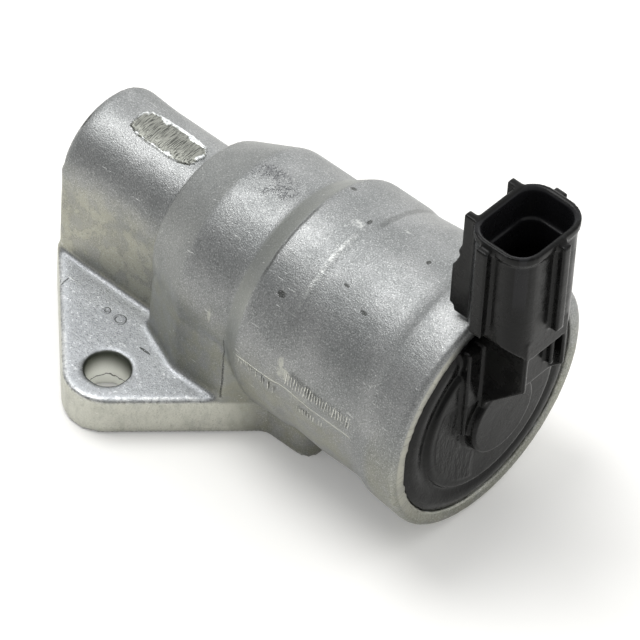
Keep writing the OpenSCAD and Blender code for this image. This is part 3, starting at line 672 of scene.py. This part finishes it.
def castWeights(points):
    # crisp cast edges outside, full fillets round the ears, none in the bores, little on the milled face
    x, y, z = points.T
    away = np.hypot(y, z - axisHeight * mm)
    station = x / mm + boltStation
    margin = 0.35      # mm of metal round each bore that stays crisp
    # the bore along the valve axis: stations, and the radius at each, in mm
    inner = np.interp(station,
                      [0, 3, 3.1, 19.6, 19.7, 22.6, 22.7, 27.2, 43.9, 44.1, 73, 73.1, 75.4, 75.5, 80],
                      [0, 0, 7.2, 7.2, 8.2, 8.2, 10.6, 12.8, 12.8, 17.3, 17.3, 19.2, 19.2, 0, 0])
    fillet = np.clip(1 - np.abs(z / mm - 7.9) / 1.7, 0, 1) * (np.abs(y) < 19.5 * mm)
    share = casting["crisp"] + (1 - casting["crisp"]) * casting["fillet"] * fillet
    share[(away < (inner + margin) * mm) & (station > 2.9)] = 0.0
    for port, radius in ((13.2, 5.2), (33.4, 5.8)):      # the two ports in the mounting face
        near = np.hypot(x - (port - boltStation) * mm, y) < (radius + margin) * mm
        share[near & (z < 14 * mm)] = 0.0
    share[z < 0.35 * mm] = 0.25
    share[(station < 2.6) & (z > 9 * mm)] *= 0.4
    for side in (-1, 1):
        bolt = np.hypot(x, y - side * boltSide * mm) < 4.1 * mm
        share[bolt] = np.minimum(share[bolt], 0.03)
    return share


def ease(value):
    # smooth step from 0 to 1
    value = np.clip(value, 0, 1)
    return value * value * (3 - 2 * value)


def moveRing(mesh, points, forward, outward):
    # moves points along the valve axis and away from it, both in mm
    tall = points[:, 2] - axisHeight * mm
    far = np.maximum(np.hypot(points[:, 1], tall), 0.1 * mm)
    grow = 1 + outward * mm / far
    points[:, 0] += forward * mm
    points[:, 1] *= grow
    points[:, 2] = axisHeight * mm + tall * grow
    mesh.vertices.foreach_set("co", points.ravel())
    mesh.update()


def sinkPad(mesh):
    # the skin under the gate scar follows the tower, so the scar itself stands just proud of it
    points = vectors(mesh.vertices, "co")
    station = points[:, 0] / mm + boltStation
    tall = points[:, 2] / mm - axisHeight
    far = np.hypot(points[:, 1] / mm, tall)
    pad = (station > 4.5) & (station < 20.5) & (tall > 8.8) & (np.abs(points[:, 1]) < 4.4 * mm)
    pad &= far > casting["padRadius"]
    shrink = np.where(pad, casting["padRadius"] / np.maximum(far, 1.0), 1.0)
    points[:, 1] *= shrink
    points[:, 2] = (axisHeight + tall * shrink) * mm
    mesh.vertices.foreach_set("co", points.ravel())


castMesh = reskin("valve_body", "casting", casting["voxel"])
sinkPad(castMesh)
points, bend = soften(castMesh, castWeights, casting["softening"])
# the fold of the lip stands a little proud, where the crimp has rolled it over the cap; the rim and
# the upper edge of the tower's blind end are a little fuller than the solid
station, far = fromAxisLine(points)
moveRing(castMesh, points, casting["lipOut"] * ease((station - 73.2) / 3.2) * (far > 17.6),
         casting["lipGrow"] * ease((station - 75.2) / 0.8) * ease((19.6 - far) / 0.8) * (far > 17.6)
         + casting["rimGrow"] * ease((station - 74.0) / 2.0) * ease((far - 20.2) / 0.5)
         + casting["endGrow"] * ease((8.0 - station) / 7.4) * ease((points[:, 2] / mm - 20) / 6))
np.clip(points[:, 2], 0, None, out=points[:, 2])
np.clip(points[:, 0], -boltStation * mm, None, out=points[:, 0])
castMesh.vertices.foreach_set("co", points.ravel())
bendLayer = castMesh.attributes.new("edgeBend", "FLOAT", "POINT")
bendLayer.data.foreach_set("value", np.clip(bend * casting["edgeGain"], 0, 1).astype(np.float32))
body = makeObject("casting", castMesh, finish["cast"], "housing")
castMesh.materials.append(finish["machined"])
# the bores and the milled underside are machined
centres, facing = vectors(castMesh.polygons, "center"), vectors(castMesh.polygons, "normal")
bored = (castWeights(centres) == 0.0) | ((centres[:, 2] < 0.12 * mm) & (facing[:, 2] < -0.8))
castMesh.polygons.foreach_set("material_index", bored.astype(np.int32))
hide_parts("valve_body")
print("casting skinned:", len(castMesh.polygons), "faces")

capMesh = reskin("end_cap", "endCap", capLook["voxel"])
points, bend = soften(capMesh, lambda p: np.full(len(p), capLook["soft"]), capLook["softening"])
# the sloping ring meets the rolled lip
station, far = fromAxisLine(points)
ringed = (station > 75.2) & (station < 78.6) & (far < 18.7) & (points[:, 2] < 38 * mm)
moveRing(capMesh, points,
         casting["lipOut"] * ease((far - 14.0) / 3.4) * ease((78.6 - station) / 0.5) * ringed,
         capLook["ringGrow"] * ease((far - 17.3) / 0.6) * ringed)
bendLayer = capMesh.attributes.new("edgeBend", "FLOAT", "POINT")
bendLayer.data.foreach_set("value", np.clip(bend * capLook["edgeGain"], 0, 1).astype(np.float32))
cap = makeObject("endCap", capMesh, finish["cap"], "housing")
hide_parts("end_cap")
print("end cap skinned:", len(capMesh.polygons), "faces")

# both springs, as their own meshes on the housing: name, fixed end in metres
springs = {"return_spring": ("returnSpring", 0.0176), "trim_spring": ("trimSpring", 0.04567)}
for node, (name, fixedEnd) in springs.items():
    spring = makeObject(name, mergedMesh(node, name), finish["spring"], "housing")
    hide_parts(node)
    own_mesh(spring)

# sawn gate scar on top of the tower
scar = {"centre": 12.95, "half": 6.5, "wide": 2.95, "top": 10.42, "base": 9.2, "square": 3.4,
        "curve": 0.8, "colour": "#8E8F88", "groove": "#464744", "torn": "#E9ECED", "sawPitch": 0.13,
        "tilt": 24, "spokes": 168, "rings": 26}


def scarMaterial():
    made, tree, shader = newMaterial("sawn_aluminium")
    coord = addNode(tree, "ShaderNodeTexCoord").outputs["Object"]
    turned = addNode(tree, "ShaderNodeMapping", {"Rotation": (0, 0, math.radians(scar["tilt"])),
                                                 "Scale": (1.0, 0.06, 1.0)}, {"Vector": coord}).outputs[0]
    saw = sizedNoise(tree, turned, scar["sawPitch"], 3.0, 0.55)
    fine = sizedNoise(tree, coord, 0.3, 3.0, 0.6)
    torn = addNode(tree, "ShaderNodeAttribute", {"attribute_name": "torn"}).outputs["Fac"]
    skin = blendTone(tree, spread(tree, saw, 0.36, 0.56), tone(scar["groove"]), tone(scar["colour"]))
    torn = sums(tree, "MULTIPLY", torn, spread(tree, fine, 0.34, 0.56, 0.35, 1.0))
    skin = blendTone(tree, torn, skin, tone(scar["torn"]))
    tree.links.new(skin, shader.inputs["Base Color"])
    shader.inputs["Metallic"].default_value = 1.0
    tree.links.new(spread(tree, torn, 0, 1, 0.4, 0.26), shader.inputs["Roughness"])
    under = relief(tree, saw, 0.035)
    under = relief(tree, fine, 0.05, under)
    tree.links.new(under, shader.inputs["Normal"])
    return made


def scarMesh():
    # closed plate: sawn top with a torn, lifted rim, a skirt and a flat underside
    grid = bmesh.new()
    torn = grid.verts.layers.float.new("torn")
    spokes, rings = scar["spokes"], scar["rings"]

    def rounded(value):
        return math.copysign(abs(value) ** (2 / scar["square"]), value)

    rows = [[grid.verts.new(at(scar["centre"], 0, scar["top"]))]]
    for r in range(1, rings + 1):
        row = []
        for k in range(spokes):
            a = 2 * math.pi * k / spokes
            lean = r / rings
            ragged = 1 + 0.05 * noise.noise((4 * math.cos(a), 4 * math.sin(a), 4.2)) \
                + 0.05 * noise.noise((15 * math.cos(a), 15 * math.sin(a), 1.7))
            x = scar["half"] * rounded(math.cos(a)) * ragged * lean
            y = scar["wide"] * rounded(math.sin(a)) * ragged * lean
            toRim = min(scar["wide"] - abs(y), scar["half"] - abs(x))
            wave = max(0.0, 0.5 + 1.3 * noise.noise((x * 0.5, 2.1, 7.3)))
            reach = 0.12 + 2.4 * max(0.0, y / scar["wide"]) ** 2 * wave
            reach += max(0.0, noise.noise((x * 1.1, y * 1.1, 3.3))) * 0.9
            reach += 0.35 * noise.noise((x * 3.1, y * 3.1, 9.3))
            share = min(1.0, max(0.0, (reach - toRim) / 0.3 + 0.5))
            lump = share * (0.13 + 0.16 * noise.noise((x * 2.4, y * 2.4, 0.6)))
            lump -= 0.2 * max(0.0, lean - 0.95) / 0.05
            sag = scar["curve"] * (scar["top"] - math.sqrt(scar["top"] ** 2 - y * y))
            vert = grid.verts.new(at(scar["centre"] + x, y, scar["top"] - sag + lump))
            vert[torn] = share
            row.append(vert)
        rows.append(row)
    for k in range(spokes):
        grid.faces.new((rows[0][0], rows[1][k], rows[1][(k + 1) % spokes]))
    foot = []
    for vert in rows[rings]:
        low = grid.verts.new((vert.co.x, vert.co.y, (scar["base"] + axisHeight) * mm))
        low[torn] = 0.3
        foot.append(low)
    rows.append(foot)
    for near, far in zip(rows[1:-1], rows[2:]):
        for k in range(spokes):
            n = (k + 1) % spokes
            grid.faces.new((near[k], far[k], far[n], near[n]))
    grid.faces.new(foot[::-1])
    bmesh.ops.recalc_face_normals(grid, faces=grid.faces)
    made = bpy.data.meshes.new("gateScar")
    grid.to_mesh(made)
    grid.free()
    return made


makeObject("gateScar", scarMesh(), scarMaterial(), "housing")
print("gate scar laid on the tower")


# repeated marks, made with Geometry Nodes
def scratchMaterial(name, colour, darker, roughness):
    made, tree, shader = newMaterial(name)
    coord = addNode(tree, "ShaderNodeTexCoord").outputs["Object"]
    fine = sizedNoise(tree, coord, 0.5, 3.0, 0.6)
    tree.links.new(blendTone(tree, spread(tree, fine, 0.3, 0.7), tone(darker), tone(colour)),
                   shader.inputs["Base Color"])
    shader.inputs["Metallic"].default_value = 1.0
    tree.links.new(spread(tree, fine, 0.3, 0.7, roughness, roughness + 0.1), shader.inputs["Roughness"])
    tree.links.new(relief(tree, fine, 0.01), shader.inputs["Normal"])
    return made


def treeWith(name, inputs):
    tree = bpy.data.node_groups.new(name, "GeometryNodeTree")
    for label, kind, value in inputs:
        made = tree.interface.new_socket(label, in_out="INPUT", socket_type=kind)
        if value is not None:
            made.default_value = value
    tree.interface.new_socket("Geometry", in_out="OUTPUT", socket_type="NodeSocketGeometry")
    return tree, addNode(tree, "NodeGroupInput").outputs


def closeTree(tree, geometry, material):
    solid = addNode(tree, "GeometryNodeRealizeInstances", None, {0: geometry})
    dressed = addNode(tree, "GeometryNodeSetMaterial", {"Material": material}, {0: solid.outputs[0]})
    addNode(tree, "NodeGroupOutput", links={0: dressed.outputs[0]})


def stoodUp(tree, geometry, along):
    # turned square to the valve axis and moved along it
    centre = addNode(tree, "ShaderNodeCombineXYZ", {"Z": axisHeight * mm}, {"X": along})
    return addNode(tree, "GeometryNodeTransform", {"Rotation": (0, math.pi / 2, 0)},
                   {"Geometry": geometry, "Translation": centre.outputs[0]}).outputs[0]


def barsOnPoints(tree, points, given, material):
    # one small bar on each point, its Y axis turned away from the valve axis, some left out at random
    seed = given["Seed"]
    place = addNode(tree, "GeometryNodeInputPosition").outputs[0]
    out = addNode(tree, "ShaderNodeVectorMath", {"operation": "SUBTRACT", 1: (0, 0, axisHeight * mm)},
                  {0: place})
    flat = addNode(tree, "ShaderNodeVectorMath", {"operation": "MULTIPLY", 1: (0, 1, 1)}, {0: out.outputs[0]})
    face = addNode(tree, "FunctionNodeAlignRotationToVector", {"axis": "Y"}, {"Vector": flat.outputs[0]})
    wobble = addNode(tree, "FunctionNodeRandomValue", {"data_type": "FLOAT_VECTOR", 0: (-0.1, -0.1, -0.1),
                                                       1: (0.1, 0.1, 0.1)}, {"Seed": seed})
    spun = addNode(tree, "FunctionNodeRotateRotation", {"rotation_space": "LOCAL"},
                   {0: face.outputs[0], 1: wobble.outputs[0]})
    low = addNode(tree, "ShaderNodeMath", {"operation": "SUBTRACT", 0: 1.0}, {1: given["Jitter"]})
    long = addNode(tree, "FunctionNodeRandomValue", {"data_type": "FLOAT", 3: 1.0},
                   {2: low.outputs[0], "Seed": seed})
    drop = addNode(tree, "FunctionNodeRandomValue", {"data_type": "BOOLEAN"},
                   {"Probability": given["Skip"], "Seed": seed})
    kept = addNode(tree, "GeometryNodeDeleteGeometry", {"domain": "POINT"}, {0: points, 1: drop.outputs[3]})
    bar = addNode(tree, "GeometryNodeMeshCube", links={"Size": given["Size"]})
    placed = addNode(tree, "GeometryNodeInstanceOnPoints", None,
                     {"Points": kept.outputs[0], "Instance": bar.outputs[0], "Rotation": spun.outputs[0],
                      "Scale": long.outputs[1]})
    closeTree(tree, placed.outputs[0], material)


def bake(tree, name, values, material, smooth=False):
    # runs the tree on an empty mesh and keeps the result as a plain mesh on the housing
    carrier = bpy.data.objects.new(name + "Work", bpy.data.meshes.new(name + "Work"))
    bpy.context.scene.collection.objects.link(carrier)
    run = carrier.modifiers.new("run", "NODES")
    run.node_group = tree
    for item in tree.interface.items_tree:
        if item.in_out == "INPUT" and item.name in values:
            run[item.identifier] = values[item.name]
    carrier.update_tag()
    depsgraph = bpy.context.evaluated_depsgraph_get()
    depsgraph.update()
    result = bpy.data.meshes.new_from_object(carrier.evaluated_get(depsgraph))
    bpy.data.objects.remove(carrier)
    result.name = name
    makeObject(name, result, material, "housing", smooth)


ticks = {
    "upperFileTicks": {"Start": at(54.6, -19.28, 3.1), "End": at(66.9, -19.18, 2.7), "Count": 25,
                       "Size": (0.17 * mm, 0.12 * mm, 2.0 * mm), "Seed": 3, "Jitter": 0.45, "Skip": 0.06},
    "lowerFileTicks": {"Start": at(53.9, -19.36, -1.3), "End": at(62.4, -19.34, -1.2), "Count": 17,
                       "Size": (0.15 * mm, 0.1 * mm, 1.1 * mm), "Seed": 11, "Jitter": 0.5, "Skip": 0.3},
    "seamFileTicks": {"Start": at(45.2, -19.12, 0.5), "End": at(52.2, -19.33, -1.0), "Count": 15,
                      "Size": (0.16 * mm, 0.12 * mm, 1.5 * mm), "Seed": 7, "Jitter": 0.4, "Skip": 0.25},
}
tickFinish = scratchMaterial("filed_aluminium", "#D4D4CC", "#8F908D", 0.3)
vector, whole, real = "NodeSocketVector", "NodeSocketInt", "NodeSocketFloat"
barInputs = [("Count", whole, 20), ("Size", vector, None), ("Seed", whole, 1), ("Jitter", real, 0.4),
             ("Skip", real, 0.1)]
tickTree, given = treeWith("rowOfTicks", [("Start", vector, None), ("End", vector, None)] + barInputs)
row = addNode(tickTree, "GeometryNodeMeshLine", {"mode": "END_POINTS"},
              {"Count": given["Count"], "Start Location": given["Start"], "Offset": given["End"]})
barsOnPoints(tickTree, row.outputs[0], given, tickFinish)
for name, values in ticks.items():
    bake(tickTree, name, values, tickFinish)

lip = {"Radius": 19.1 * mm, "Station": (77.36 - boltStation) * mm, "Count": 190,
       "Size": (0.07 * mm, 0.8 * mm, 0.1 * mm), "Seed": 5, "Jitter": 0.7, "Skip": 0.35}
lipFinish = scratchMaterial("rolled_aluminium", "#6E6E66", "#8F908D", 0.45)
lipTree, given = treeWith("ringOfToolMarks", [("Radius", real, 0.01), ("Station", real, 0.0)] + barInputs)
ring = addNode(lipTree, "GeometryNodeMeshCircle", {"fill_type": "NONE"},
               {"Vertices": given["Count"], "Radius": given["Radius"]})
barsOnPoints(lipTree, stoodUp(lipTree, ring.outputs[0], given["Station"]), given, lipFinish)
bake(lipTree, "lipToolMarks", lip, lipFinish)

# outer layer of the coil: one wire wound from flange to flange
coil = {"Turns": 41.0, "Radius": 14.72 * mm, "Height": 20.6 * mm, "Wire": 0.24 * mm, "From": 24.6 * mm,
        "Sides": 6}
coilTree, given = treeWith("woundWire", [("Turns", real, 10.0), ("Radius", real, 0.01),
                                         ("Height", real, 0.01), ("Wire", real, 0.001),
                                         ("From", real, 0.0), ("Sides", whole, 6)])
path = addNode(coilTree, "GeometryNodeCurveSpiral", {"Resolution": 44},
               {"Rotations": given["Turns"], "Start Radius": given["Radius"], "End Radius": given["Radius"],
                "Height": given["Height"]})
profile = addNode(coilTree, "GeometryNodeCurvePrimitiveCircle", {"mode": "RADIUS"},
                  {"Resolution": given["Sides"], "Radius": given["Wire"]})
wire = addNode(coilTree, "GeometryNodeCurveToMesh", {"Fill Caps": True},
               {"Curve": path.outputs[0], "Profile Curve": profile.outputs[0]})
closeTree(coilTree, stoodUp(coilTree, wire.outputs[0], given["From"]), finish["wire"])
bake(coilTree, "coilWire", coil, finish["wire"], True)
for slotHolder in nodes["coil_winding"].material_slots:
    slotHolder.material = finish["wire"]
print("file ticks, lip marks and coil wire made")
